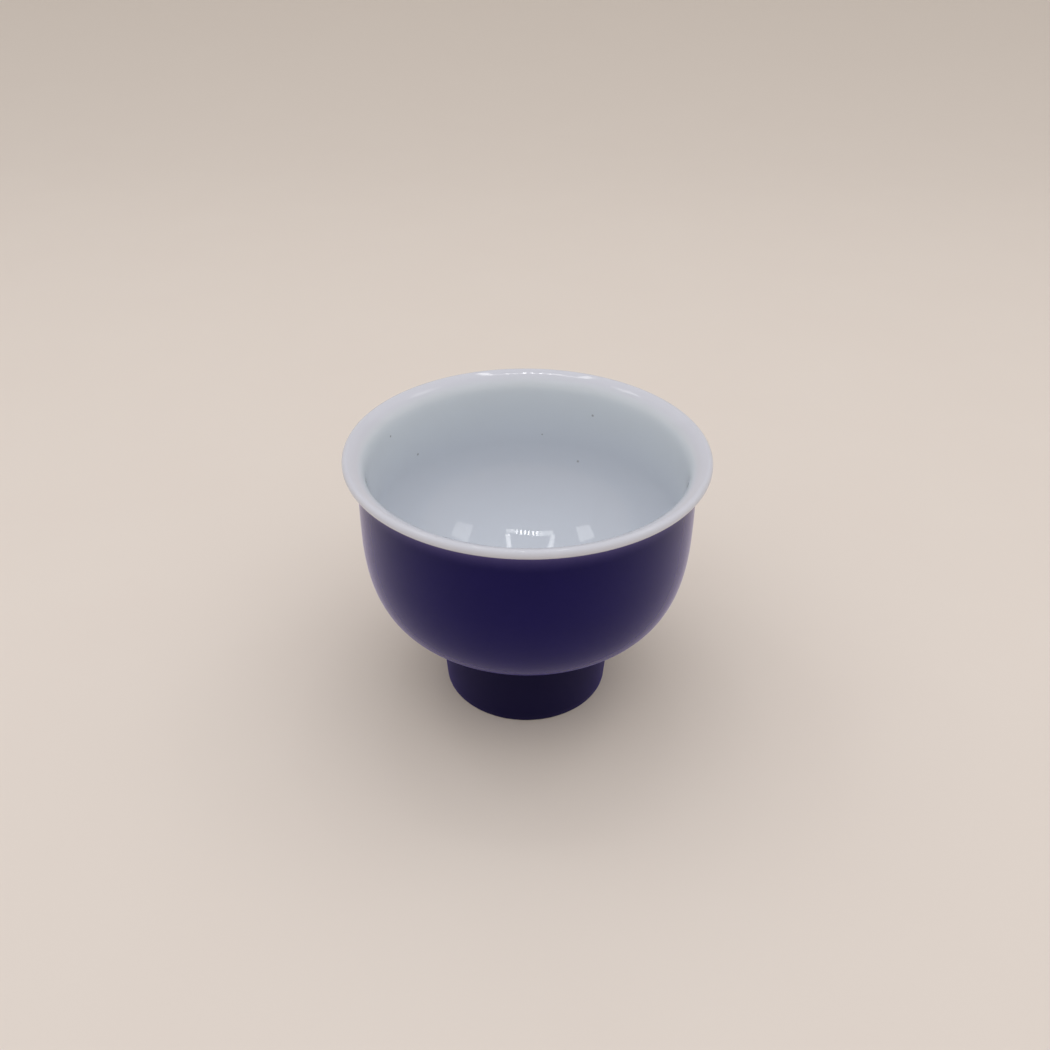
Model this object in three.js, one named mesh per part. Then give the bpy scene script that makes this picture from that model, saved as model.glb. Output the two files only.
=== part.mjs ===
// A small porcelain tea cup without a handle: a bell-shaped bowl with a flared lip on a high, hollow foot.
// White glaze lines the bowl and the lip, blue glaze covers the outside, and the foot's resting edge is bare.
// Millimetres, +Z up. The origin lies on the cup's axis, at the level of the resting edge.
import * as THREE from "three";

// Outside of the cup, over the glaze
const rimRadius = 33;
const cupHeight = 52.65;
const lipThickness = 1.6;
const lipOverhang = 2.2;
const bellyHeight = 37.55;
const footHeight = 18;
const footTopRadius = 17.5;
const footRestRadius = 16.25;
const footFillet = 1.5;

// Slopes in degrees, and how far each end of a curve keeps its direction
const lipFlareAngle = 66;
const lipFlareReach = 2.8;
const bellyReachUp = 12.2;
const bellyReachDown = 16;
const undersideSlope = 12;
const undersideReach = 6.8;
const hollowReachOut = 15.5;
const hollowReachDown = 10.5;

// Walls, glaze included
const wallThickness = 1.85;
const floorThickness = 3.4;
const recessRadius = 13.5;
const recessFillet = 1.2;

// Layers
const coatThickness = 0.3;
const liningThickness = 0.3;
const slipThickness = 0.4;
const bareEdge = 0.25;
const fusedGap = 0.02;

// Fineness of the turned surfaces
const segments = 48;
const crownSteps = 4;
const filletSteps = 4;
const bellySteps = 9;
const hollowSteps = 10;
const flareSteps = 9;
const lipSteps = 7;

const radians = THREE.MathUtils.degToRad;

function point(radius, height) {
  return new THREE.Vector2(radius, height);
}

function heading(degrees) {
  return point(Math.cos(radians(degrees)), Math.sin(radians(degrees)));
}

function along(start, direction, distance) {
  return start.clone().addScaledVector(direction, distance);
}

// The point beside an outline's own point, a depth to the left of its direction
function beside(base, direction, depth) {
  return point(Math.max(0, base.x - direction.y * depth), base.y + direction.x * depth);
}

// Where two straight lines cross, each given by a point and a direction
function meeting(first, firstWay, second, secondWay) {
  const across = second.clone().sub(first);
  const distance = across.cross(secondWay) / firstWay.cross(secondWay);
  return along(first, firstWay, distance);
}

// A round corner that turns right, between two straight directions
function roundCorner(corner, wayIn, wayOut, radius) {
  const turn = Math.acos(wayIn.dot(wayOut));
  const trim = radius * Math.tan(turn / 2);
  const start = along(corner, wayIn, -trim);
  const centre = beside(start, wayIn, -radius);
  const quarter = Math.PI / 2;
  const from = wayIn.angle() + quarter;
  const curve = new THREE.EllipseCurve(centre.x, centre.y, radius, radius, from, from - turn, true);
  return { start, end: along(corner, wayOut, trim), curve };
}

// Outline of the outside, over the glaze, from the resting edge up to the lip
const upright = point(0, 1);
const downright = point(0, -1);
const undersideWay = heading(undersideSlope);
const footStart = point(footRestRadius, bareEdge);
const footCorner = point(footTopRadius, footHeight);
const footWay = footCorner.clone().sub(footStart).normalize();
const footTurn = roundCorner(footCorner, footWay, undersideWay, footFillet);
const bellyRadius = rimRadius - lipOverhang;
const belly = point(bellyRadius, bellyHeight);
const lipRadius = lipThickness / 2;
const lipCentre = point(rimRadius - lipRadius, cupHeight - lipRadius);
const lipWay = heading(90 - lipFlareAngle);
const lipStart = beside(lipCentre, lipWay, -lipRadius);

const footWall = new THREE.LineCurve(footStart, footTurn.start);
const bellyCurve = new THREE.CubicBezierCurve(
  footTurn.end,
  along(footTurn.end, undersideWay, undersideReach),
  along(belly, upright, -bellyReachDown),
  belly,
);
const flareCurve = new THREE.CubicBezierCurve(
  belly,
  along(belly, upright, bellyReachUp),
  along(lipStart, lipWay, -lipFlareReach),
  lipStart,
);

// Underside inside the foot: a shallow crown at the axis, a round corner, and the conical seat of the foot
const recessDrop = (footTopRadius - recessRadius) * Math.tan(radians(undersideSlope));
const recessCorner = point(recessRadius, footHeight - recessDrop);
const recessTurn = roundCorner(recessCorner, undersideWay, downright, recessFillet);
const crownEdge = recessTurn.start;
const crownLow = crownEdge.y - (crownEdge.x / 2) * Math.tan(radians(undersideSlope));
const crownCurve = new THREE.QuadraticBezierCurve(
  point(0, crownLow),
  point(crownEdge.x / 2, crownLow),
  crownEdge,
);
const seatLine = new THREE.LineCurve(crownEdge, footTurn.end);

// Hollow of the bowl, over the glaze, from the middle of its floor up to the belly
const hollowFloor = point(0, crownLow + floorThickness);
const hollowSide = point(bellyRadius - wallThickness, bellyHeight);
const hollowCurve = new THREE.CubicBezierCurve(
  hollowFloor,
  point(hollowReachOut, hollowFloor.y),
  along(hollowSide, upright, -hollowReachDown),
  hollowSide,
);

// Stretches of the outside and of the hollow, which the layers of the wall share
const footStretch = { curve: footWall, steps: 1 };
const footTurnStretch = { curve: footTurn.curve, steps: filletSteps };
const recessTurnStretch = { curve: recessTurn.curve, steps: filletSteps };
const crownStretch = { curve: crownCurve, steps: crownSteps };
const seatStretch = { curve: seatLine, steps: 1 };
const bellyStretch = { curve: bellyCurve, steps: bellySteps };
const flareStretch = { curve: flareCurve, steps: flareSteps };
const hollowStretch = { curve: hollowCurve, steps: hollowSteps };
const bowlStretches = [crownStretch, seatStretch, bellyStretch, flareStretch];

// Thickness of the flare behind a point of its outside, drawn in at the lip
function flareThickness(base) {
  const climb = THREE.MathUtils.smoothstep(base.y, bellyHeight, lipStart.y);
  return THREE.MathUtils.lerp(wallThickness, lipThickness, climb);
}

// Points of one layer: each stretch is followed at a depth to its left
function layer(stretches, depthBehind) {
  return stretches.flatMap(({ curve, steps }) =>
    Array.from({ length: steps + 1 }, (_, step) => {
      const base = curve.getPoint(step / steps);
      return beside(base, curve.getTangent(step / steps), depthBehind(base));
    }),
  );
}

// Points of the inside at a depth behind the lining's surface, from the axis up to the lip
function inside(depth) {
  return [
    ...layer([hollowStretch], () => -depth),
    ...layer([flareStretch], (base) => flareThickness(base) - depth),
  ];
}

// Round of the lip from its outer to its inner end
function lipArc(radius, skippedAngle) {
  const from = lipWay.angle() - Math.PI / 2 + skippedAngle;
  const to = lipWay.angle() + Math.PI / 2;
  return new THREE.EllipseCurve(lipCentre.x, lipCentre.y, radius, radius, from, to).getPoints(lipSteps);
}

const outsideFace = () => 0;
const coatBack = () => coatThickness;
const bodyFront = () => coatThickness + fusedGap;

// The foot's own lines: its outer wall, its inner wall and the seat under the bowl
const footWallBack = beside(footStart, footWay, coatThickness);
const footOuter = beside(footStart, footWay, coatThickness + fusedGap);
const footInner = point(recessRadius + coatThickness + fusedGap, bareEdge);
const seatAt = (depth) => beside(crownEdge, undersideWay, depth);
const slipTop = seatAt(coatThickness);
const slipFoot = seatAt(coatThickness - slipThickness);
const footTop = seatAt(coatThickness - slipThickness - fusedGap);

function bowlBody() {
  return [
    ...layer(bowlStretches, bodyFront),
    ...lipArc(lipRadius - liningThickness - fusedGap, 0),
    ...inside(liningThickness + fusedGap).reverse(),
  ];
}

function whiteLining() {
  const seam = fusedGap / lipRadius;
  return [
    ...inside(liningThickness),
    ...lipArc(lipRadius - liningThickness, seam).reverse(),
    ...lipArc(lipRadius, seam),
    ...inside(0).reverse(),
  ];
}

function blueCoat() {
  const upper = [bellyStretch, flareStretch];
  const corner = meeting(footWallBack, footWay, slipTop, undersideWay);
  return [
    ...layer([footStretch, footTurnStretch, ...upper], outsideFace),
    ...layer(upper, coatBack).reverse(),
    corner,
    footWallBack,
  ];
}

function baseCoat() {
  const wallBack = point(recessRadius + coatThickness, bareEdge);
  return [
    ...layer([crownStretch, recessTurnStretch], outsideFace),
    point(recessRadius, bareEdge),
    wallBack,
    meeting(wallBack, upright, slipTop, undersideWay),
    ...layer([crownStretch], coatBack).reverse(),
  ];
}

function lutingSlip() {
  return [
    meeting(footInner, upright, slipFoot, undersideWay),
    meeting(footOuter, footWay, slipFoot, undersideWay),
    meeting(footOuter, footWay, slipTop, undersideWay),
    meeting(footInner, upright, slipTop, undersideWay),
  ];
}

function footRing() {
  return [
    footInner,
    point(footInner.x + bareEdge, 0),
    point(footOuter.x - bareEdge, 0),
    footOuter,
    meeting(footOuter, footWay, footTop, undersideWay),
    meeting(footInner, upright, footTop, undersideWay),
  ];
}

// A solid of revolution: repeated points go, and an outline off the axis is closed on itself
function turned(name, outline, color, roughness) {
  const apart = fusedGap / 10;
  const profile = outline.filter((here, i) => i === 0 || here.distanceTo(outline[i - 1]) > apart);
  if (profile[0].x > 0) profile.push(profile[0].clone());
  const geometry = new THREE.LatheGeometry(profile, segments).rotateX(Math.PI / 2);
  const mesh = new THREE.Mesh(geometry, new THREE.MeshStandardMaterial({ color, roughness, metalness: 0 }));
  mesh.name = name;
  return mesh;
}

const cup = new THREE.Group();
cup.name = "tea_cup";
cup.add(
  turned("bowl_body", bowlBody(), 0xe9e6de, 0.6),
  turned("foot_ring", footRing(), 0xe3ddd0, 0.75),
  turned("luting_slip", lutingSlip(), 0xe6e1d6, 0.75),
  turned("white_lining_glaze", whiteLining(), 0xdfe6ea, 0.08),
  turned("blue_outer_glaze", blueCoat(), 0x2a2460, 0.12),
  turned("base_glaze", baseCoat(), 0xdde4e7, 0.1),
);

export default cup;
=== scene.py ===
"""A small porcelain tea cup: white-lined bell bowl with a flared lip, blue outside, on a high foot."""
import logging
import math
from collections.abc import Mapping, Sequence
from dataclasses import dataclass, field
from enum import Enum
from typing import Any

import bmesh
import bpy
from mathutils import Matrix, Vector


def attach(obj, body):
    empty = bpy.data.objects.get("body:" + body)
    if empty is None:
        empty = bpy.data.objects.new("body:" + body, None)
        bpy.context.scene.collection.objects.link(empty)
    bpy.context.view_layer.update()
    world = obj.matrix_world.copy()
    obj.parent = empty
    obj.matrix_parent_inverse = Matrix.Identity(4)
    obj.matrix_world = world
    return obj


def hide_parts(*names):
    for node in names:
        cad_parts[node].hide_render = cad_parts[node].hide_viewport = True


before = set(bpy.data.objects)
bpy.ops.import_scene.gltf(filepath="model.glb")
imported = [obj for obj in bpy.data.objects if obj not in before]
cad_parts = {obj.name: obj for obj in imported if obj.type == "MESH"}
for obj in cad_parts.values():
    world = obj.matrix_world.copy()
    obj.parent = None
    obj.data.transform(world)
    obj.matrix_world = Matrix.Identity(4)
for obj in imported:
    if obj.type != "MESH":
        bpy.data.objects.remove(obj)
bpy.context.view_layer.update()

LOG = logging.getLogger("tea_cup")
MM = 0.001
FULL_TURN = 2 * math.pi

# Fineness of the turned meshes: lengths in millimetres, angles in degrees
SPIN_STEPS = 192
POINTS_APART = 0.002
SHARP_ANGLE = 35.0
EDGE_SEGMENTS = 3

# Sockets of a colour mix, which has several sockets of the same name
MIX_SHARE = 0
MIX_FIRST = 6
MIX_SECOND = 7
MIX_RESULT = 2


class Face(Enum):
    """Surfaces that lie behind one another, from either side of the cup's wall."""

    SURFACE = "surface of a coat of glaze"
    COAT_BACK = "back of a coat of glaze"
    CLAY = "porcelain behind a coat of glaze"


@dataclass(frozen=True)
class Station:
    """One point of an outline, in millimetres, and the direction in which the outline passes it."""

    place: Vector
    way: Vector

    def beside(self, depth: float) -> Vector:
        """The point a depth to the left of the outline."""
        return self.place + depth * Vector((-self.way.y, self.way.x))


def heading(degrees: float) -> Vector:
    """The direction at an angle above the horizontal, as a length of one."""
    angle = math.radians(degrees)
    return Vector((math.cos(angle), math.sin(angle)))


def curve(controls: Sequence[Vector], steps: int) -> list[Station]:
    """Follows a line or a smooth curve that its control points shape.

    Args:
        controls: Two points for a line, three or four for a curve.
        steps: How many steps the curve is walked in.

    Returns:
        The stations from the first control point to the last.
    """
    stations = []
    for step in range(steps + 1):
        share = step / steps
        row = list(controls)
        while len(row) > 2:
            row = [start.lerp(end, share) for start, end in zip(row, row[1:])]
        stations.append(Station(row[0].lerp(row[1], share), (row[1] - row[0]).normalized()))
    return stations


def arc(centre: Vector, radius: float, first: float, last: float, steps: int) -> list[Station]:
    """Follows a round from one angle to another.

    Args:
        centre: Middle of the round.
        radius: Its radius.
        first: Angle where it starts, in degrees.
        last: Angle where it ends, in degrees.
        steps: How many steps the round is walked in.

    Returns:
        The stations from the first angle to the last.
    """
    side = 90 if last > first else -90
    stations = []
    for step in range(steps + 1):
        angle = first + (last - first) * step / steps
        stations.append(Station(centre + radius * heading(angle), heading(angle + side)))
    return stations


def meeting(first: Vector, first_way: Vector, second: Vector, second_way: Vector) -> Vector:
    """Finds where two straight lines cross.

    Args:
        first: A point of the first line.
        first_way: Direction of the first line.
        second: A point of the second line.
        second_way: Direction of the second line.

    Returns:
        The crossing point.
    """
    across = second - first
    distance = across.cross(second_way) / first_way.cross(second_way)
    return first + distance * first_way


@dataclass(frozen=True)
class RoundCorner:
    """A corner between two straight directions that turns right in a round."""

    corner: Vector
    way_in: Vector
    way_out: Vector
    radius: float

    @property
    def turn(self) -> float:
        """The angle between the two directions, in degrees."""
        return math.degrees(self.way_in.angle(self.way_out))

    @property
    def trim(self) -> float:
        """How far from the corner the round starts and ends."""
        return self.radius * math.tan(math.radians(self.turn) / 2)

    @property
    def start(self) -> Vector:
        """Where the round leaves the first direction."""
        return self.corner - self.trim * self.way_in

    @property
    def end(self) -> Vector:
        """Where the round joins the second direction."""
        return self.corner + self.trim * self.way_out

    def stations(self, steps: int) -> list[Station]:
        """Follows the round.

        Args:
            steps: How many steps the round is walked in.

        Returns:
            The stations from the first direction to the second.
        """
        centre = Station(self.start, self.way_in).beside(-self.radius)
        first = math.degrees(math.atan2(self.way_in.y, self.way_in.x)) + 90
        return arc(centre, self.radius, first, first - self.turn, steps)


@dataclass(frozen=True)
class CupForm:
    """Outline of the cup over its glaze, and the layers behind it, in millimetres."""

    rim_radius: float = 33.0
    cup_height: float = 52.65
    lip_thickness: float = 1.6
    lip_overhang: float = 2.2
    belly_height: float = 37.55
    foot_height: float = 18.0
    foot_top_radius: float = 17.5
    foot_rest_radius: float = 16.25
    foot_fillet: float = 1.5
    lip_flare_angle: float = 66.0
    lip_flare_reach: float = 2.8
    belly_reach_up: float = 12.2
    belly_reach_down: float = 16.0
    underside_slope: float = 12.0
    underside_reach: float = 6.8
    wall_thickness: float = 1.85
    floor_thickness: float = 3.4
    hollow_reach_out: float = 15.5
    hollow_reach_down: float = 10.5
    recess_radius: float = 13.5
    recess_fillet: float = 1.2
    coat_thickness: float = 0.3
    slip_thickness: float = 0.4
    bare_edge: float = 0.25
    fused_gap: float = 0.02
    crown_steps: int = 16
    seat_steps: int = 6
    foot_steps: int = 12
    fillet_steps: int = 10
    belly_steps: int = 48
    hollow_steps: int = 56
    flare_steps: int = 30
    lip_steps: int = 24

    @property
    def underside_way(self) -> Vector:
        """Direction of the bowl's underside beside the foot."""
        return heading(self.underside_slope)

    @property
    def foot_start(self) -> Vector:
        """Lower end of the foot's glazed outside."""
        return Vector((self.foot_rest_radius, self.bare_edge))

    @property
    def foot_way(self) -> Vector:
        """Direction of the foot's outside, going up."""
        return (Vector((self.foot_top_radius, self.foot_height)) - self.foot_start).normalized()

    @property
    def foot_turn(self) -> RoundCorner:
        """The hollow round between the foot and the bowl."""
        corner = Vector((self.foot_top_radius, self.foot_height))
        return RoundCorner(corner, self.foot_way, self.underside_way, self.foot_fillet)

    @property
    def recess_turn(self) -> RoundCorner:
        """The hollow round inside the foot.

        Returns:
            The corner between the underside of the bowl and the foot's inner wall.
        """
        drop = (self.foot_top_radius - self.recess_radius) * math.tan(math.radians(self.underside_slope))
        corner = Vector((self.recess_radius, self.foot_height - drop))
        return RoundCorner(corner, self.underside_way, heading(-90), self.recess_fillet)

    @property
    def belly_radius(self) -> float:
        """Radius of the bowl at its widest point below the lip."""
        return self.rim_radius - self.lip_overhang

    @property
    def belly(self) -> Vector:
        """Widest point of the bowl below the lip."""
        return Vector((self.belly_radius, self.belly_height))

    @property
    def lip_radius(self) -> float:
        """Radius of the lip's round."""
        return self.lip_thickness / 2

    @property
    def lip_centre(self) -> Vector:
        """Middle of the lip's round."""
        return Vector((self.rim_radius - self.lip_radius, self.cup_height - self.lip_radius))

    @property
    def lip_start(self) -> Vector:
        """Where the outside of the flare meets the lip's round."""
        return Station(self.lip_centre, heading(90 - self.lip_flare_angle)).beside(-self.lip_radius)

    def foot_wall(self) -> list[Station]:
        """The foot's outside from its lower edge to the hollow round."""
        return curve((self.foot_start, self.foot_turn.start), self.foot_steps)

    def belly_side(self) -> list[Station]:
        """Follows the lower part of the bowl's outside.

        Returns:
            The stations from the foot to the bowl's widest point.
        """
        start = self.foot_turn.end
        leaving = start + self.underside_reach * self.underside_way
        arriving = self.belly - Vector((0, self.belly_reach_down))
        return curve((start, leaving, arriving, self.belly), self.belly_steps)

    def flare_side(self) -> list[Station]:
        """Follows the upper part of the bowl's outside.

        Returns:
            The stations from the bowl's widest point to the lip.
        """
        leaving = self.belly + Vector((0, self.belly_reach_up))
        arriving = self.lip_start - self.lip_flare_reach * heading(90 - self.lip_flare_angle)
        return curve((self.belly, leaving, arriving, self.lip_start), self.flare_steps)

    @property
    def crown_height(self) -> float:
        """Height of the underside at the axis."""
        edge = self.recess_turn.start
        return edge.y - edge.x / 2 * math.tan(math.radians(self.underside_slope))

    def crown(self) -> list[Station]:
        """Follows the shallow underside within the foot.

        Returns:
            The stations from the axis outwards.
        """
        edge = self.recess_turn.start
        middle = Vector((edge.x / 2, self.crown_height))
        return curve((Vector((0, self.crown_height)), middle, edge), self.crown_steps)

    def seat(self) -> list[Station]:
        """The conical underside over the foot."""
        return curve((self.recess_turn.start, self.foot_turn.end), self.seat_steps)

    def hollow_curve(self) -> list[Station]:
        """Follows the lower part of the bowl's inside.

        Returns:
            The stations from the middle of the floor to the bowl's widest point.
        """
        floor = self.crown_height + self.floor_thickness
        side = Vector((self.belly_radius - self.wall_thickness, self.belly_height))
        leaving = Vector((self.hollow_reach_out, floor))
        arriving = side - Vector((0, self.hollow_reach_down))
        return curve((Vector((0, floor)), leaving, arriving, side), self.hollow_steps)

    def flare_thickness(self, base: Vector) -> float:
        """Thickness of the flare behind a point of its outside, drawn in at the lip.

        Args:
            base: The point, as radius and height.

        Returns:
            The thickness with both coats of glaze.
        """
        climb = (base.y - self.belly_height) / (self.lip_start.y - self.belly_height)
        climb = min(1.0, max(0.0, climb))
        ease = climb * climb * (3 - 2 * climb)
        return self.wall_thickness + (self.lip_thickness - self.wall_thickness) * ease

    def depth(self, face: Face) -> float:
        """How far a surface lies behind the glaze's own.

        Args:
            face: The surface that is looked for.

        Returns:
            The depth in millimetres.
        """
        return {
            Face.SURFACE: 0.0,
            Face.COAT_BACK: self.coat_thickness,
            Face.CLAY: self.coat_thickness + self.fused_gap,
        }[face]

    def outside(self, stations: Sequence[Station], face: Face) -> list[Vector]:
        """The points of one surface along a stretch of the outside.

        Args:
            stations: The stretch of the outside.
            face: The surface that is looked for.

        Returns:
            One point for each station, never past the axis.
        """
        points = [station.beside(self.depth(face)) for station in stations]
        return [Vector((max(0.0, point.x), point.y)) for point in points]

    def hollow(self, face: Face) -> list[Vector]:
        """The points of one surface along the bowl's inside, from the axis to the lip.

        Args:
            face: The surface that is looked for.

        Returns:
            The points in order.
        """
        depth = self.depth(face)
        bowl = [station.beside(-depth) for station in self.hollow_curve()]
        flare = [
            station.beside(self.flare_thickness(station.place) - depth) for station in self.flare_side()
        ]
        return bowl + flare

    def lip(self, radius: float, skipped: float = 0.0) -> list[Vector]:
        """The round of the lip from its outer to its inner end.

        Args:
            radius: Radius of the round.
            skipped: Angle left off at the outer end, in degrees.

        Returns:
            The points of the round.
        """
        first = skipped - self.lip_flare_angle
        last = 180 - self.lip_flare_angle
        return [station.place for station in arc(self.lip_centre, radius, first, last, self.lip_steps)]

    def inside_radius(self, height: float) -> float:
        """Radius of the bowl's inside at a height above the floor.

        Args:
            height: The height in millimetres.

        Returns:
            The radius in millimetres.
        """
        points = self.hollow(Face.SURFACE)
        for low, high in zip(points, points[1:]):
            if low.y <= height <= high.y and high.y > low.y:
                share = (height - low.y) / (high.y - low.y)
                return low.lerp(high, share).x
        return points[-1].x


def linear(hex_colour: str) -> tuple[float, float, float, float]:
    """Turns an sRGB hex colour into linear light.

    Args:
        hex_colour: A hash sign and six hex digits.

    Returns:
        Red, green, blue and alpha.
    """
    channels = []
    for start in (1, 3, 5):
        value = int(hex_colour[start:start + 2], 16) / 255
        channels.append(value / 12.92 if value <= 0.04045 else ((value + 0.055) / 1.055) ** 2.4)
    return (*channels, 1.0)


def per_metre(size: float) -> float:
    """Texture scale at which one feature is about a size in millimetres."""
    return 1 / (size * MM)


def add_node(
    tree: bpy.types.NodeTree,
    kind: str,
    inputs: Mapping[Any, Any],
    **settings: Any,
) -> bpy.types.Node:
    """Adds a shader node with its settings and links.

    Args:
        tree: The tree that gets the node.
        kind: Type name of the node.
        inputs: A value or a socket for each input, by its name or number.
        settings: Properties of the node.

    Returns:
        The new node.
    """
    node = tree.nodes.new(kind)
    for name, value in settings.items():
        setattr(node, name, value)
    for key, value in inputs.items():
        if isinstance(value, bpy.types.NodeSocket):
            tree.links.new(value, node.inputs[key])
        else:
            node.inputs[key].default_value = value
    return node


def blank_material(name: str) -> tuple[bpy.types.Material, bpy.types.Node]:
    """Makes a material with a plain surface shader.

    Args:
        name: Name of the material.

    Returns:
        The material and its surface shader.
    """
    material = bpy.data.materials.new(name)
    material.use_nodes = True
    return material, material.node_tree.nodes["Principled BSDF"]


def drifting_tone(
    tree: bpy.types.NodeTree,
    place: bpy.types.NodeSocket,
    size: float,
    first: str,
    second: str,
) -> bpy.types.NodeSocket:
    """Adds a colour that drifts between two tones in soft clouds.

    Args:
        tree: The material's nodes.
        place: Object coordinates.
        size: Size of one cloud, in millimetres.
        first: The one tone, as a hex colour.
        second: The other tone.

    Returns:
        The colour.
    """
    clouds = add_node(tree, "ShaderNodeTexNoise", {"Vector": place, "Scale": per_metre(size)})
    tone = add_node(
        tree,
        "ShaderNodeMix",
        {MIX_SHARE: clouds.outputs["Fac"], MIX_FIRST: linear(first), MIX_SECOND: linear(second)},
        data_type="RGBA",
    )
    return tone.outputs[MIX_RESULT]


def fine_relief(
    tree: bpy.types.NodeTree,
    place: bpy.types.NodeSocket,
    size: float,
    height: float,
) -> bpy.types.NodeSocket:
    """Adds a fine random relief.

    Args:
        tree: The material's nodes.
        place: Object coordinates.
        size: Size of one feature, in millimetres.
        height: Height of the relief, in millimetres.

    Returns:
        The way that the surface faces with its relief.
    """
    noise = add_node(tree, "ShaderNodeTexNoise", {"Vector": place, "Scale": per_metre(size)})
    bump = add_node(
        tree,
        "ShaderNodeBump",
        {"Height": noise.outputs["Fac"], "Distance": height * MM, "Strength": 1.0},
    )
    return bump.outputs[0]


@dataclass(frozen=True)
class Speck:
    """An iron speck in the white glaze: its bearing in degrees, its height and size in millimetres."""

    bearing: float
    height: float
    size: float


@dataclass(frozen=True)
class WhiteGlaze:
    """Clear feldspar glaze over white porcelain, dipped and fired.

    It gives a wet gloss and a bluish white, with painted shade that darkens it low in the bowl and greys
    it over the flare and lip, where the glaze also thins. The grey goes by the distance from the cup's
    axis and the darkening by the height. Lengths are in millimetres.
    """

    name: str = "clear_glaze_on_white_porcelain"
    # Greyer white over the flare and lip: painted shade, where the glaze also thins.
    thin_glaze_and_lip_light: str = "#C6C8D3"
    thick_white_and_foot_shade: str = "#D6DEE5"
    lip_light_from: float = 28.9
    lip_light_to: float = 30.8
    cloud: str = "#D2D9E0"
    cloud_size: float = 9.0
    # Darker white low in the bowl: painted shade over its floor and lower wall.
    floor_shade: str = "#C9CED8"
    floor_shade_to: float = 29.0
    floor_shade_from: float = 50.0
    roughness: float = 0.035
    ior: float = 1.52
    speck_colour: str = "#A2A7AB"
    specks: tuple[Speck, ...] = (
        Speck(bearing=155.4, height=47.6, size=0.28),
        Speck(bearing=140.1, height=39.9, size=0.32),
        Speck(bearing=62.6, height=45.3, size=0.32),
        Speck(bearing=67.8, height=34.05, size=0.32),
        Speck(bearing=83.9, height=39.15, size=0.22),
    )
    ripple_size: float = 2.6
    ripple_height: float = 0.006

    def material(self, form: CupForm) -> bpy.types.Material:
        """Builds the material.

        Args:
            form: The cup, which gives the specks their place on the wall.

        Returns:
            The material.
        """
        material, surface = blank_material(self.name)
        tree = material.node_tree
        place = add_node(tree, "ShaderNodeTexCoord", {}).outputs["Object"]
        level = add_node(tree, "ShaderNodeVectorMath", {0: place, 1: (1, 1, 0)}, operation="MULTIPLY")
        radius = add_node(tree, "ShaderNodeVectorMath", {0: level.outputs[0]}, operation="LENGTH")
        # Greyer out from the flare, by the distance from the axis: painted shade over the flare and lip,
        # where the glaze also thins.
        lip_light_share = add_node(
            tree,
            "ShaderNodeMapRange",
            {
                "Value": radius.outputs["Value"],
                "From Min": self.lip_light_from * MM,
                "From Max": self.lip_light_to * MM,
            },
            interpolation_type="SMOOTHSTEP",
        )
        clouded = drifting_tone(tree, place, self.cloud_size, self.thick_white_and_foot_shade, self.cloud)
        height = add_node(tree, "ShaderNodeSeparateXYZ", {0: place}).outputs["Z"]
        # Darker low in the bowl, by the height: painted shade over the bowl's floor and lower wall.
        on_wall = add_node(
            tree,
            "ShaderNodeMapRange",
            {"Value": height, "From Min": self.floor_shade_to * MM, "From Max": self.floor_shade_from * MM},
            interpolation_type="SMOOTHSTEP",
        )
        floor_shaded = add_node(
            tree,
            "ShaderNodeMix",
            {MIX_SHARE: on_wall.outputs[0], MIX_FIRST: linear(self.floor_shade), MIX_SECOND: clouded},
            data_type="RGBA",
        )
        coat = add_node(
            tree,
            "ShaderNodeMix",
            {
                MIX_SHARE: lip_light_share.outputs[0],
                MIX_FIRST: floor_shaded.outputs[MIX_RESULT],
                MIX_SECOND: linear(self.thin_glaze_and_lip_light),
            },
            data_type="RGBA",
        )
        marked = self.speckle(tree, place, coat.outputs[MIX_RESULT], form)
        ripple = fine_relief(tree, place, self.ripple_size, self.ripple_height)
        tree.links.new(marked, surface.inputs["Base Color"])
        tree.links.new(ripple, surface.inputs["Normal"])
        surface.inputs["Roughness"].default_value = self.roughness
        surface.inputs["IOR"].default_value = self.ior
        return material

    def speckle(
        self,
        tree: bpy.types.NodeTree,
        place: bpy.types.NodeSocket,
        colour: bpy.types.NodeSocket,
        form: CupForm,
    ) -> bpy.types.NodeSocket:
        """Adds the iron specks to the glaze's colour.

        Args:
            tree: The material's nodes.
            place: Object coordinates.
            colour: The glaze's colour without specks.
            form: The cup that carries them.

        Returns:
            The colour with specks.
        """
        for speck in self.specks:
            radius = form.inside_radius(speck.height)
            spot = radius * heading(speck.bearing)
            away = add_node(
                tree,
                "ShaderNodeVectorMath",
                {0: place, 1: (spot.x * MM, spot.y * MM, speck.height * MM)},
                operation="DISTANCE",
            )
            fade = add_node(
                tree,
                "ShaderNodeMapRange",
                {
                    "Value": away.outputs["Value"],
                    "From Min": speck.size / 2 * MM,
                    "From Max": speck.size * MM,
                    "To Min": 1.0,
                    "To Max": 0.0,
                },
            )
            mix = add_node(
                tree,
                "ShaderNodeMix",
                {MIX_SHARE: fade.outputs[0], MIX_FIRST: colour, MIX_SECOND: linear(self.speck_colour)},
                data_type="RGBA",
            )
            colour = mix.outputs[MIX_RESULT]
        return colour


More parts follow.
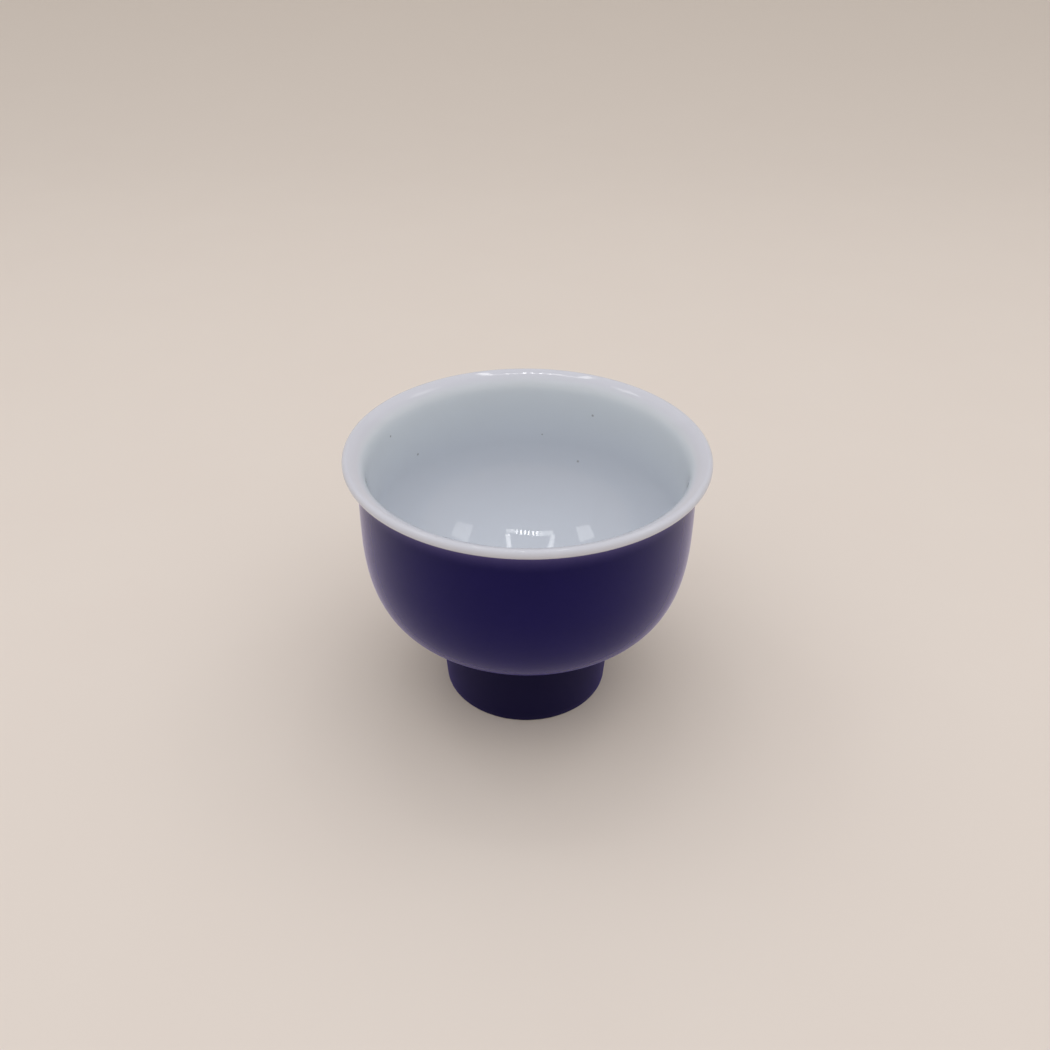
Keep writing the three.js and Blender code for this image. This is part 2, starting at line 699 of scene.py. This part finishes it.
@dataclass(frozen=True)
class BlueGlaze:
    """Cobalt glaze, sprayed on the outside and fired to a smooth gloss.

    It gives a deep blue with a violet bloom at its edges, duller on the foot, with painted shade that
    darkens the foot under the bowl, and paler at the lip, where the coat thins and painted light lifts the
    shade under the lip. Both go by the height. Lengths are in millimetres.
    """

    name: str = "cobalt_blue_glaze"
    deep: str = "#120E41"
    cloud: str = "#151047"
    # Darker blue on the foot: painted shade under the bowl.
    thick_white_and_foot_shade: str = "#070525"
    # Paler blue near the lip: thinner glaze, and painted light that lifts the shade under the lip.
    thin_glaze_and_lip_light: str = "#4A4279"
    cloud_size: float = 7.0
    foot_band_top: float = 16.5
    bowl_band_from: float = 27.0
    lip_light_from: float = 47.2
    lip_light_to: float = 51.6
    waver: float = 0.5
    waver_size: float = 2.2
    roughness: float = 0.14
    foot_roughness: float = 0.6
    ior: float = 1.37
    face_gloss: str = "#7D78A8"
    bloom: str = "#8C7CFC"
    bloom_weight: float = 0.28
    bloom_roughness: float = 0.45
    ripple_size: float = 2.2
    ripple_height: float = 0.008

    def material(self) -> bpy.types.Material:
        """Builds the material.

        Returns:
            The material.
        """
        material, surface = blank_material(self.name)
        tree = material.node_tree
        place = add_node(tree, "ShaderNodeTexCoord", {}).outputs["Object"]
        height = add_node(tree, "ShaderNodeSeparateXYZ", {0: place}).outputs["Z"]
        clouded = drifting_tone(tree, place, self.cloud_size, self.deep, self.cloud)
        # Darker and duller on the foot, by the height: the dark blue there is painted shade under the
        # bowl, and the roughness is the foot's own duller gloss.
        on_bowl = add_node(
            tree,
            "ShaderNodeMapRange",
            {"Value": height, "From Min": self.foot_band_top * MM, "From Max": self.bowl_band_from * MM},
            interpolation_type="SMOOTHSTEP",
        )
        foot_shaded = add_node(
            tree,
            "ShaderNodeMix",
            {MIX_SHARE: on_bowl.outputs[0], MIX_FIRST: linear(self.thick_white_and_foot_shade), MIX_SECOND: clouded},
            data_type="RGBA",
        )
        gloss = add_node(
            tree,
            "ShaderNodeMapRange",
            {"Value": on_bowl.outputs[0], "To Min": self.foot_roughness, "To Max": self.roughness},
        )
        wander = add_node(
            tree,
            "ShaderNodeTexNoise",
            {"Vector": place, "Scale": per_metre(self.waver_size)},
        )
        edge = add_node(
            tree,
            "ShaderNodeMath",
            {0: wander.outputs["Fac"], 1: self.waver * MM, 2: height},
            operation="MULTIPLY_ADD",
        )
        # Paler towards the lip, by a wavering height: thinner glaze, and painted light that lifts the
        # shade under the lip.
        lip_light_share = add_node(
            tree,
            "ShaderNodeMapRange",
            {"Value": edge.outputs[0], "From Min": self.lip_light_from * MM, "From Max": self.lip_light_to * MM},
            interpolation_type="SMOOTHSTEP",
        )
        coat = add_node(
            tree,
            "ShaderNodeMix",
            {
                MIX_SHARE: lip_light_share.outputs[0],
                MIX_FIRST: foot_shaded.outputs[MIX_RESULT],
                MIX_SECOND: linear(self.thin_glaze_and_lip_light),
            },
            data_type="RGBA",
        )
        ripple = fine_relief(tree, place, self.ripple_size, self.ripple_height)
        tree.links.new(gloss.outputs[0], surface.inputs["Roughness"])
        tree.links.new(coat.outputs[MIX_RESULT], surface.inputs["Base Color"])
        tree.links.new(ripple, surface.inputs["Normal"])
        surface.inputs["IOR"].default_value = self.ior
        surface.inputs["Specular Tint"].default_value = linear(self.face_gloss)
        surface.inputs["Sheen Weight"].default_value = self.bloom_weight
        surface.inputs["Sheen Roughness"].default_value = self.bloom_roughness
        surface.inputs["Sheen Tint"].default_value = linear(self.bloom)
        return material


@dataclass(frozen=True)
class FiredPorcelain:
    """Unglazed porcelain, turned, sponged and fired.

    It gives a dry warm white with a fine tooth and faint stains. The real tooth is too fine to show, so it
    is drawn coarser. Lengths are in millimetres, and the stains' bounds are parts of their pattern.
    """

    name: str
    clean: str
    stained: str
    stain_size: float
    stain_detail: float = 6.0
    stain_from: float = 0.45
    stain_to: float = 0.75
    grit_size: float = 0.35
    grit_height: float = 0.02
    roughness: float = 0.72

    def material(self) -> bpy.types.Material:
        """Builds the material.

        Returns:
            The material.
        """
        material, surface = blank_material(self.name)
        tree = material.node_tree
        place = add_node(tree, "ShaderNodeTexCoord", {}).outputs["Object"]
        stains = add_node(
            tree,
            "ShaderNodeTexNoise",
            {"Vector": place, "Scale": per_metre(self.stain_size), "Detail": self.stain_detail},
        )
        share = add_node(
            tree,
            "ShaderNodeMapRange",
            {"Value": stains.outputs["Fac"], "From Min": self.stain_from, "From Max": self.stain_to},
            interpolation_type="SMOOTHSTEP",
        )
        colour = add_node(
            tree,
            "ShaderNodeMix",
            {
                MIX_SHARE: share.outputs[0],
                MIX_FIRST: linear(self.clean),
                MIX_SECOND: linear(self.stained),
            },
            data_type="RGBA",
        )
        grit = fine_relief(tree, place, self.grit_size, self.grit_height)
        tree.links.new(colour.outputs[MIX_RESULT], surface.inputs["Base Color"])
        tree.links.new(grit, surface.inputs["Normal"])
        surface.inputs["Roughness"].default_value = self.roughness
        return material


def turn_solid(name: str, outline: Sequence[Vector], edge_round: float) -> bpy.types.Object:
    """Turns a closed outline about the cup's axis into a smooth solid with softened edges.

    Args:
        name: Name of the new piece.
        outline: Points as radius and height in millimetres; an outline off the axis closes on itself.
        edge_round: Radius of the softened edges, in millimetres.

    Returns:
        The new object, in place.
    """
    points = [outline[0]]
    for point in outline[1:]:
        if (point - points[-1]).length > POINTS_APART:
            points.append(point)
    shape = bmesh.new()
    corners = [shape.verts.new((point.x * MM, 0, point.y * MM)) for point in points]
    chain = [shape.edges.new(pair) for pair in zip(corners, corners[1:])]
    if points[0].x > 0:
        chain.append(shape.edges.new((corners[-1], corners[0])))
    bmesh.ops.spin(
        shape,
        geom=corners + chain,
        cent=(0, 0, 0),
        axis=(0, 0, 1),
        angle=FULL_TURN,
        steps=SPIN_STEPS,
        use_merge=True,
    )
    bmesh.ops.remove_doubles(shape, verts=shape.verts, dist=POINTS_APART * MM)
    bmesh.ops.recalc_face_normals(shape, faces=shape.faces)
    sharp = math.radians(SHARP_ANGLE)
    edges = [edge for edge in shape.edges if edge.is_manifold and edge.calc_face_angle() > sharp]
    bmesh.ops.bevel(
        shape,
        geom=edges,
        offset=edge_round * MM,
        offset_type="OFFSET",
        affect="EDGES",
        segments=EDGE_SEGMENTS,
        profile=0.5,
        material=-1,
    )
    for polygon in shape.faces:
        polygon.smooth = True
    mesh = bpy.data.meshes.new(name)
    shape.to_mesh(mesh)
    shape.free()
    piece = bpy.data.objects.new(name, mesh)
    bpy.context.collection.objects.link(piece)
    return piece


def place_piece(piece: bpy.types.Object, node: str, material: bpy.types.Material) -> None:
    """Dresses a piece and sets it in the frame in place of its solid.

    Args:
        piece: The new piece.
        node: The solid that it stands for.
        material: Its material.
    """
    piece.data.materials.append(material)
    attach(piece, "root")
    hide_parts(node)
    LOG.info("%s stands for %s, %d faces", piece.name, node, len(piece.data.polygons))


@dataclass
class Claywork:
    """The two thrown parts of the cup and the slip that joins them, with edges rounded in millimetres."""

    form: CupForm
    edge_round: float = 0.08
    land_round: float = 0.1
    porcelain: FiredPorcelain = FiredPorcelain(
        name="fired_porcelain",
        clean="#E9E6DE",
        stained="#E2DED4",
        stain_size=6.0,
    )
    biscuit: FiredPorcelain = FiredPorcelain(
        name="sponged_biscuit_porcelain",
        clean="#E3DDD0",
        stained="#BFB2A0",
        stain_size=3.0,
    )

    def shell_outline(self) -> list[Vector]:
        """Draws the bowl under its glaze.

        Returns:
            The points up the outside, over the lip and down the inside.
        """
        form = self.form
        side = form.crown() + form.seat() + form.belly_side() + form.flare_side()
        lip = form.lip(form.lip_radius - form.depth(Face.CLAY))
        return form.outside(side, Face.CLAY) + lip + form.hollow(Face.CLAY)[::-1]

    def foot_lines(self) -> tuple[Vector, Vector]:
        """Finds the lower ends of the foot's walls under the glaze.

        Returns:
            The end of the inner and of the outer wall.
        """
        form = self.form
        depth = form.depth(Face.CLAY)
        inner = Vector((form.recess_radius + depth, form.bare_edge))
        outer = Station(form.foot_start, form.foot_way).beside(depth)
        return inner, outer

    def across_seat(self, depth: float) -> tuple[Vector, Vector]:
        """Where the foot's two walls meet the seat at a depth in the bowl.

        Args:
            depth: Depth behind the bowl's underside.

        Returns:
            The inner and the outer point.
        """
        form = self.form
        inner, outer = self.foot_lines()
        seat = Station(form.recess_turn.start, form.underside_way).beside(depth)
        return (
            meeting(inner, heading(90), seat, form.underside_way),
            meeting(outer, form.foot_way, seat, form.underside_way),
        )

    def foot_outline(self) -> list[Vector]:
        """Draws the foot ring with its bare resting edge.

        Returns:
            The points from the inner wall, under the foot and up to its seat.
        """
        form = self.form
        inner, outer = self.foot_lines()
        depth = form.coat_thickness - form.slip_thickness - form.fused_gap
        top_inner, top_outer = self.across_seat(depth)
        land_inner = Vector((inner.x + form.bare_edge, 0))
        land_outer = Vector((outer.x - form.bare_edge, 0))
        return [inner, land_inner, land_outer, outer, top_outer, top_inner]

    def slip_outline(self) -> list[Vector]:
        """Draws the ring of slip between foot and bowl.

        Returns:
            The four corners of the ring.
        """
        form = self.form
        low_inner, low_outer = self.across_seat(form.coat_thickness - form.slip_thickness)
        high_inner, high_outer = self.across_seat(form.coat_thickness)
        return [low_inner, low_outer, high_outer, high_inner]

    def build(self) -> None:
        """Makes the bowl, the foot and the slip."""
        biscuit = self.biscuit.material()
        shell = turn_solid("porcelain_shell", self.shell_outline(), self.edge_round)
        place_piece(shell, "bowl_body", self.porcelain.material())
        foot = turn_solid("turned_foot", self.foot_outline(), self.land_round)
        place_piece(foot, "foot_ring", biscuit)
        slip = turn_solid("joining_slip", self.slip_outline(), self.edge_round)
        place_piece(slip, "luting_slip", biscuit)


@dataclass
class Glazing:
    """The three coats of glaze, with edges rounded in millimetres."""

    form: CupForm
    edge_round: float = 0.05
    white: WhiteGlaze = field(default_factory=WhiteGlaze)
    blue: BlueGlaze = field(default_factory=BlueGlaze)

    def lining_outline(self) -> list[Vector]:
        """Draws the white coat on the inside and over the lip.

        Returns:
            The points up the back of the coat and down its surface.
        """
        form = self.form
        seam = math.degrees(form.fused_gap / form.lip_radius)
        back = form.hollow(Face.COAT_BACK) + form.lip(form.lip_radius - form.coat_thickness, seam)[::-1]
        front = form.lip(form.lip_radius, seam) + form.hollow(Face.SURFACE)[::-1]
        return back + front

    def slip_edge(self) -> Vector:
        """A point of the line where the outer coats meet the underside of the bowl."""
        form = self.form
        return Station(form.recess_turn.start, form.underside_way).beside(form.coat_thickness)

    def coat_outline(self) -> list[Vector]:
        """Draws the blue coat on the outside of foot and bowl.

        Returns:
            The points up the surface of the coat and down its back.
        """
        form = self.form
        side = form.belly_side() + form.flare_side()
        low = Station(form.foot_start, form.foot_way).beside(form.coat_thickness)
        corner = meeting(low, form.foot_way, self.slip_edge(), form.underside_way)
        whole = form.foot_wall() + form.foot_turn.stations(form.fillet_steps) + side
        back = form.outside(side, Face.COAT_BACK)
        return form.outside(whole, Face.SURFACE) + back[::-1] + [corner, low]

    def hollow_outline(self) -> list[Vector]:
        """Draws the white coat in the hollow of the foot.

        Returns:
            The points along the surface of the coat and along its back.
        """
        form = self.form
        low = Vector((form.recess_radius, form.bare_edge))
        low_back = Vector((form.recess_radius + form.coat_thickness, form.bare_edge))
        corner = meeting(low_back, heading(90), self.slip_edge(), form.underside_way)
        whole = form.crown() + form.recess_turn.stations(form.fillet_steps)
        back = form.outside(form.crown(), Face.COAT_BACK)
        return form.outside(whole, Face.SURFACE) + [low, low_back, corner] + back[::-1]

    def build(self) -> None:
        """Makes the lining, the blue coat and the coat in the foot's hollow."""
        white = self.white.material(self.form)
        lining = turn_solid("white_lining", self.lining_outline(), self.edge_round)
        place_piece(lining, "white_lining_glaze", white)
        coat = turn_solid("cobalt_coat", self.coat_outline(), self.edge_round)
        place_piece(coat, "blue_outer_glaze", self.blue.material())
        hollow = turn_solid("hollow_coat", self.hollow_outline(), self.edge_round)
        place_piece(hollow, "base_glaze", white)


@dataclass(frozen=True)
class PaperSweep:
    """Matt beige studio paper, rolled out flat and curved up behind the cup.

    It gives an even warm ground with a very faint tooth, and painted shade that darkens it towards the
    back. The real tooth is too fine to show, so it is drawn coarser. Lengths are in millimetres.
    """

    colour: str = "#DCD3CC"
    mottle: str = "#DAD0C9"
    # Darker paper towards the back: painted shade on the far paper.
    far_shade: str = "#C0B7AF"
    far_from: float = 0.0
    far_to: float = 900.0
    mottle_size: float = 40.0
    grain_size: float = 0.6
    grain_height: float = 0.01
    roughness: float = 0.9
    gloss_level: float = 0.15
    half_width: float = 2500.0
    front: float = -2500.0
    flat_to: float = 400.0
    bend: float = 900.0
    wall_height: float = 300.0
    bend_steps: int = 32
    seam: float = 0.01

    def material(self) -> bpy.types.Material:
        """Builds the paper's material.

        Returns:
            The material.
        """
        material, surface = blank_material("matt_studio_paper")
        tree = material.node_tree
        place = add_node(tree, "ShaderNodeTexCoord", {}).outputs["Object"]
        mottled = drifting_tone(tree, place, self.mottle_size, self.colour, self.mottle)
        depth = add_node(tree, "ShaderNodeSeparateXYZ", {0: place}).outputs["Y"]
        # Darker towards the back, by the distance behind the cup: painted shade on the far paper.
        fading = add_node(
            tree,
            "ShaderNodeMapRange",
            {"Value": depth, "From Min": self.far_from * MM, "From Max": self.far_to * MM},
        )
        back_shaded = add_node(
            tree,
            "ShaderNodeMix",
            {MIX_SHARE: fading.outputs[0], MIX_FIRST: mottled, MIX_SECOND: linear(self.far_shade)},
            data_type="RGBA",
        )
        grain = fine_relief(tree, place, self.grain_size, self.grain_height)
        tree.links.new(back_shaded.outputs[MIX_RESULT], surface.inputs["Base Color"])
        tree.links.new(grain, surface.inputs["Normal"])
        surface.inputs["Roughness"].default_value = self.roughness
        surface.inputs["Specular IOR Level"].default_value = self.gloss_level
        return material

    def build(self) -> None:
        """Rolls out the paper under the cup and up behind it."""
        shape = bmesh.new()
        ends = [shape.verts.new((side * self.half_width * MM, self.front * MM, 0)) for side in (-1, 1)]
        edge = shape.edges.new(ends)
        flat = bmesh.ops.extrude_edge_only(shape, edges=[edge])["geom"]
        rolled = [item for item in flat if isinstance(item, bmesh.types.BMVert)]
        bmesh.ops.translate(shape, verts=rolled, vec=(0, (self.flat_to - self.front) * MM, 0))
        lead = [item for item in flat if isinstance(item, bmesh.types.BMEdge)]
        bent = bmesh.ops.spin(
            shape,
            geom=rolled + lead,
            cent=(0, self.flat_to * MM, self.bend * MM),
            axis=(1, 0, 0),
            angle=math.pi / 2,
            steps=self.bend_steps,
        )["geom_last"]
        last = [item for item in bent if isinstance(item, bmesh.types.BMEdge)]
        wall = bmesh.ops.extrude_edge_only(shape, edges=last)["geom"]
        top = [item for item in wall if isinstance(item, bmesh.types.BMVert)]
        bmesh.ops.translate(shape, verts=top, vec=(0, 0, self.wall_height * MM))
        bmesh.ops.remove_doubles(shape, verts=shape.verts, dist=self.seam * MM)
        bmesh.ops.recalc_face_normals(shape, faces=shape.faces)
        for polygon in shape.faces:
            polygon.smooth = True
        mesh = bpy.data.meshes.new("paper_sweep")
        shape.to_mesh(mesh)
        shape.free()
        sweep = bpy.data.objects.new("paper_sweep", mesh)
        bpy.context.collection.objects.link(sweep)
        sweep.data.materials.append(self.material())
        LOG.info("%s laid", sweep.name)


@dataclass(frozen=True)
class Lamp:
    """A flat lamp in the tent's roof that shines straight down: its middle, size, glow and turn.

    Lengths are in millimetres, the turn is in degrees, and a glow of one shows as white.
    """

    name: str
    across: float
    along: float
    width: float
    length: float
    glow: float
    turn: float = 0.0
    height: float = 500.0

    def hang(self) -> None:
        """Hangs the lamp in the roof."""
        light = bpy.data.lights.new(self.name, "AREA")
        light.shape = "RECTANGLE"
        light.size = self.width * MM
        light.size_y = self.length * MM
        light.energy = self.glow * math.pi * light.size * light.size_y
        lamp = bpy.data.objects.new(self.name, light)
        lamp.location = Vector((self.across, self.along, self.height)) * MM
        lamp.rotation_euler.z = math.radians(self.turn)
        bpy.context.collection.objects.link(lamp)
        LOG.info("%s hung", self.name)


@dataclass
class Studio:
    """The light tent round the cup and the camera.

    Lengths are in millimetres and angles in degrees. The picture's width, the focal length and the offset
    of the cup's axis are in pixels of the picture. The bounds of the tent's walls, roof and tone are parts
    of a direction of length one.
    """

    ground: PaperSweep = field(default_factory=PaperSweep)
    picture_width: float = 1050.0
    focal_length: float = 958.6
    sensor: float = 36.0
    axis_offset: float = 1.84
    elevation: float = 34.134
    distance: float = 181.5
    aim_height: float = 35.42
    roll: float = 0.50
    near_clip: float = 5.0
    far_clip: float = 10000.0
    front_walls: float = 0.9
    back_walls: float = 1.6
    shoulder_light: float = 0.46
    front_roof: float = 1.47
    back_roof: float = 1.16
    walls_from: float = 0.1
    walls_to: float = 0.36
    roof_from: float = 0.42
    roof_to: float = 0.85
    roof_depth: float = 0.6
    wall_tone: str = "#FFF6EA"
    roof_tone: str = "#FFFFFF"
    tone_from: float = 0.3
    tone_to: float = 0.8
    shown: str = "#D6CCC4"
    diode_start: tuple[float, float] = (36.0, 74.0)
    diode_step: tuple[float, float] = (-14.6, 2.4)
    diode_size: tuple[float, float] = (5.0, 30.0)
    diode_glow: tuple[float, ...] = (10.0, 15.0, 15.0, 15.0, 13.0, 11.0, 8.0)

    def camera(self) -> None:
        """Sets up the camera at the photograph's viewing angle."""
        lens = bpy.data.cameras.new("portrait_camera")
        lens.sensor_width = self.sensor
        lens.lens = self.sensor * self.focal_length / self.picture_width
        lens.shift_x = -self.axis_offset / self.picture_width
        lens.clip_start = self.near_clip * MM
        lens.clip_end = self.far_clip * MM
        camera = bpy.data.objects.new("portrait_camera", lens)
        rise = math.radians(self.elevation)
        back = Vector((0, -math.cos(rise), math.sin(rise))) * self.distance
        place = (Vector((0, 0, self.aim_height)) + back) * MM
        camera.matrix_world = (
            Matrix.Translation(place)
            @ Matrix.Rotation(math.pi / 2 - rise, 4, "X")
            @ Matrix.Rotation(math.radians(self.roll), 4, "Z")
        )
        bpy.context.collection.objects.link(camera)
        bpy.context.scene.camera = camera

    def tent_light(self, tree: bpy.types.NodeTree) -> bpy.types.NodeSocket:
        """Lights the tent: walls brightest behind, a roof brightest in front, and a dim shoulder between.

        Args:
            tree: The world's nodes.

        Returns:
            The tent's light.
        """
        way = add_node(tree, "ShaderNodeTexCoord", {}).outputs["Generated"]
        axes = add_node(tree, "ShaderNodeSeparateXYZ", {0: way})
        depth = axes.outputs["Y"]
        rise = axes.outputs["Z"]
        low = add_node(
            tree,
            "ShaderNodeMapRange",
            {"Value": depth, "From Min": -1.0, "To Min": self.front_walls, "To Max": self.back_walls},
        )
        walls = add_node(
            tree,
            "ShaderNodeMapRange",
            {
                "Value": rise,
                "From Min": self.walls_from,
                "From Max": self.walls_to,
                "To Min": low.outputs[0],
                "To Max": self.shoulder_light,
            },
            interpolation_type="SMOOTHSTEP",
        )
        high = add_node(
            tree,
            "ShaderNodeMapRange",
            {
                "Value": depth,
                "From Min": -self.roof_depth,
                "From Max": self.roof_depth,
                "To Min": self.front_roof - self.shoulder_light,
                "To Max": self.back_roof - self.shoulder_light,
            },
        )
        roof = add_node(
            tree,
            "ShaderNodeMapRange",
            {
                "Value": rise,
                "From Min": self.roof_from,
                "From Max": self.roof_to,
                "To Max": high.outputs[0],
            },
            interpolation_type="SMOOTHSTEP",
        )
        strength = add_node(
            tree,
            "ShaderNodeMath",
            {0: walls.outputs[0], 1: roof.outputs[0]},
            operation="ADD",
        )
        climb = add_node(
            tree,
            "ShaderNodeMapRange",
            {"Value": rise, "From Min": self.tone_from, "From Max": self.tone_to},
        )
        tone = add_node(
            tree,
            "ShaderNodeMix",
            {
                MIX_SHARE: climb.outputs[0],
                MIX_FIRST: linear(self.wall_tone),
                MIX_SECOND: linear(self.roof_tone),
            },
            data_type="RGBA",
        )
        lit = add_node(
            tree,
            "ShaderNodeBackground",
            {"Color": tone.outputs[MIX_RESULT], "Strength": strength.outputs[0]},
        )
        return lit.outputs[0]

    def tent(self) -> None:
        """Sets up the world as a pale tent, which shows as a plain backdrop."""
        world = bpy.data.worlds.new("light_tent")
        bpy.context.scene.world = world
        world.use_nodes = True
        tree = world.node_tree
        tree.nodes.clear()
        lit = self.tent_light(tree)
        seen = add_node(tree, "ShaderNodeBackground", {"Color": linear(self.shown), "Strength": 1.0})
        path = add_node(tree, "ShaderNodeLightPath", {})
        showing = path.outputs["Is Camera Ray"]
        for ray in ("Is Glossy Ray", "Is Transmission Ray"):
            either = add_node(
                tree,
                "ShaderNodeMath",
                {0: showing, 1: path.outputs[ray]},
                operation="MAXIMUM",
            )
            showing = either.outputs[0]
        both = add_node(tree, "ShaderNodeMixShader", {0: showing, 1: lit, 2: seen.outputs[0]})
        add_node(tree, "ShaderNodeOutputWorld", {"Surface": both.outputs[0]})

    def lamps(self) -> list[Lamp]:
        """Lists the lamps over the cup: a row of diodes on a lit board, and a lamp at either side.

        Returns:
            The lamps, the diodes first.
        """
        diodes = []
        for count, glow in enumerate(self.diode_glow):
            across = self.diode_start[0] + self.diode_step[0] * count
            along = self.diode_start[1] + self.diode_step[1] * count
            diodes.append(Lamp(f"diode_{count}", across, along, *self.diode_size, glow))
        return [
            *diodes,
            Lamp("board_corner", across=58.0, along=70.0, width=34.0, length=26.0, glow=3.5, turn=8.0),
            Lamp("board_clip", across=67.0, along=99.0, width=20.0, length=11.0, glow=9.0, turn=8.0),
            Lamp("board_left", across=61.0, along=150.0, width=16.0, length=86.0, glow=5.0, turn=8.3),
            Lamp("board_bar", across=-64.0, along=84.0, width=66.0, length=30.0, glow=3.0),
            Lamp("board_right", across=-86.0, along=146.0, width=18.0, length=96.0, glow=4.0, turn=-9.7),
            Lamp("roof_left", across=280.0, along=135.0, width=110.0, length=130.0, glow=1.8),
            Lamp("roof_right", across=-240.0, along=125.0, width=80.0, length=110.0, glow=2.3),
        ]

    def build(self) -> None:
        """Sets up ground, light and camera."""
        bpy.context.scene.view_settings.view_transform = "Standard"
        self.camera()
        self.ground.build()
        self.tent()
        for lamp in self.lamps():
            lamp.hang()


def main() -> None:
    """Builds the studio, the clay parts and the glaze, in that order."""
    logging.basicConfig(level=logging.INFO, format="%(name)s: %(message)s")
    form = CupForm()
    Studio().build()
    Claywork(form).build()
    Glazing(form).build()


if __name__ == "__main__":
    main()
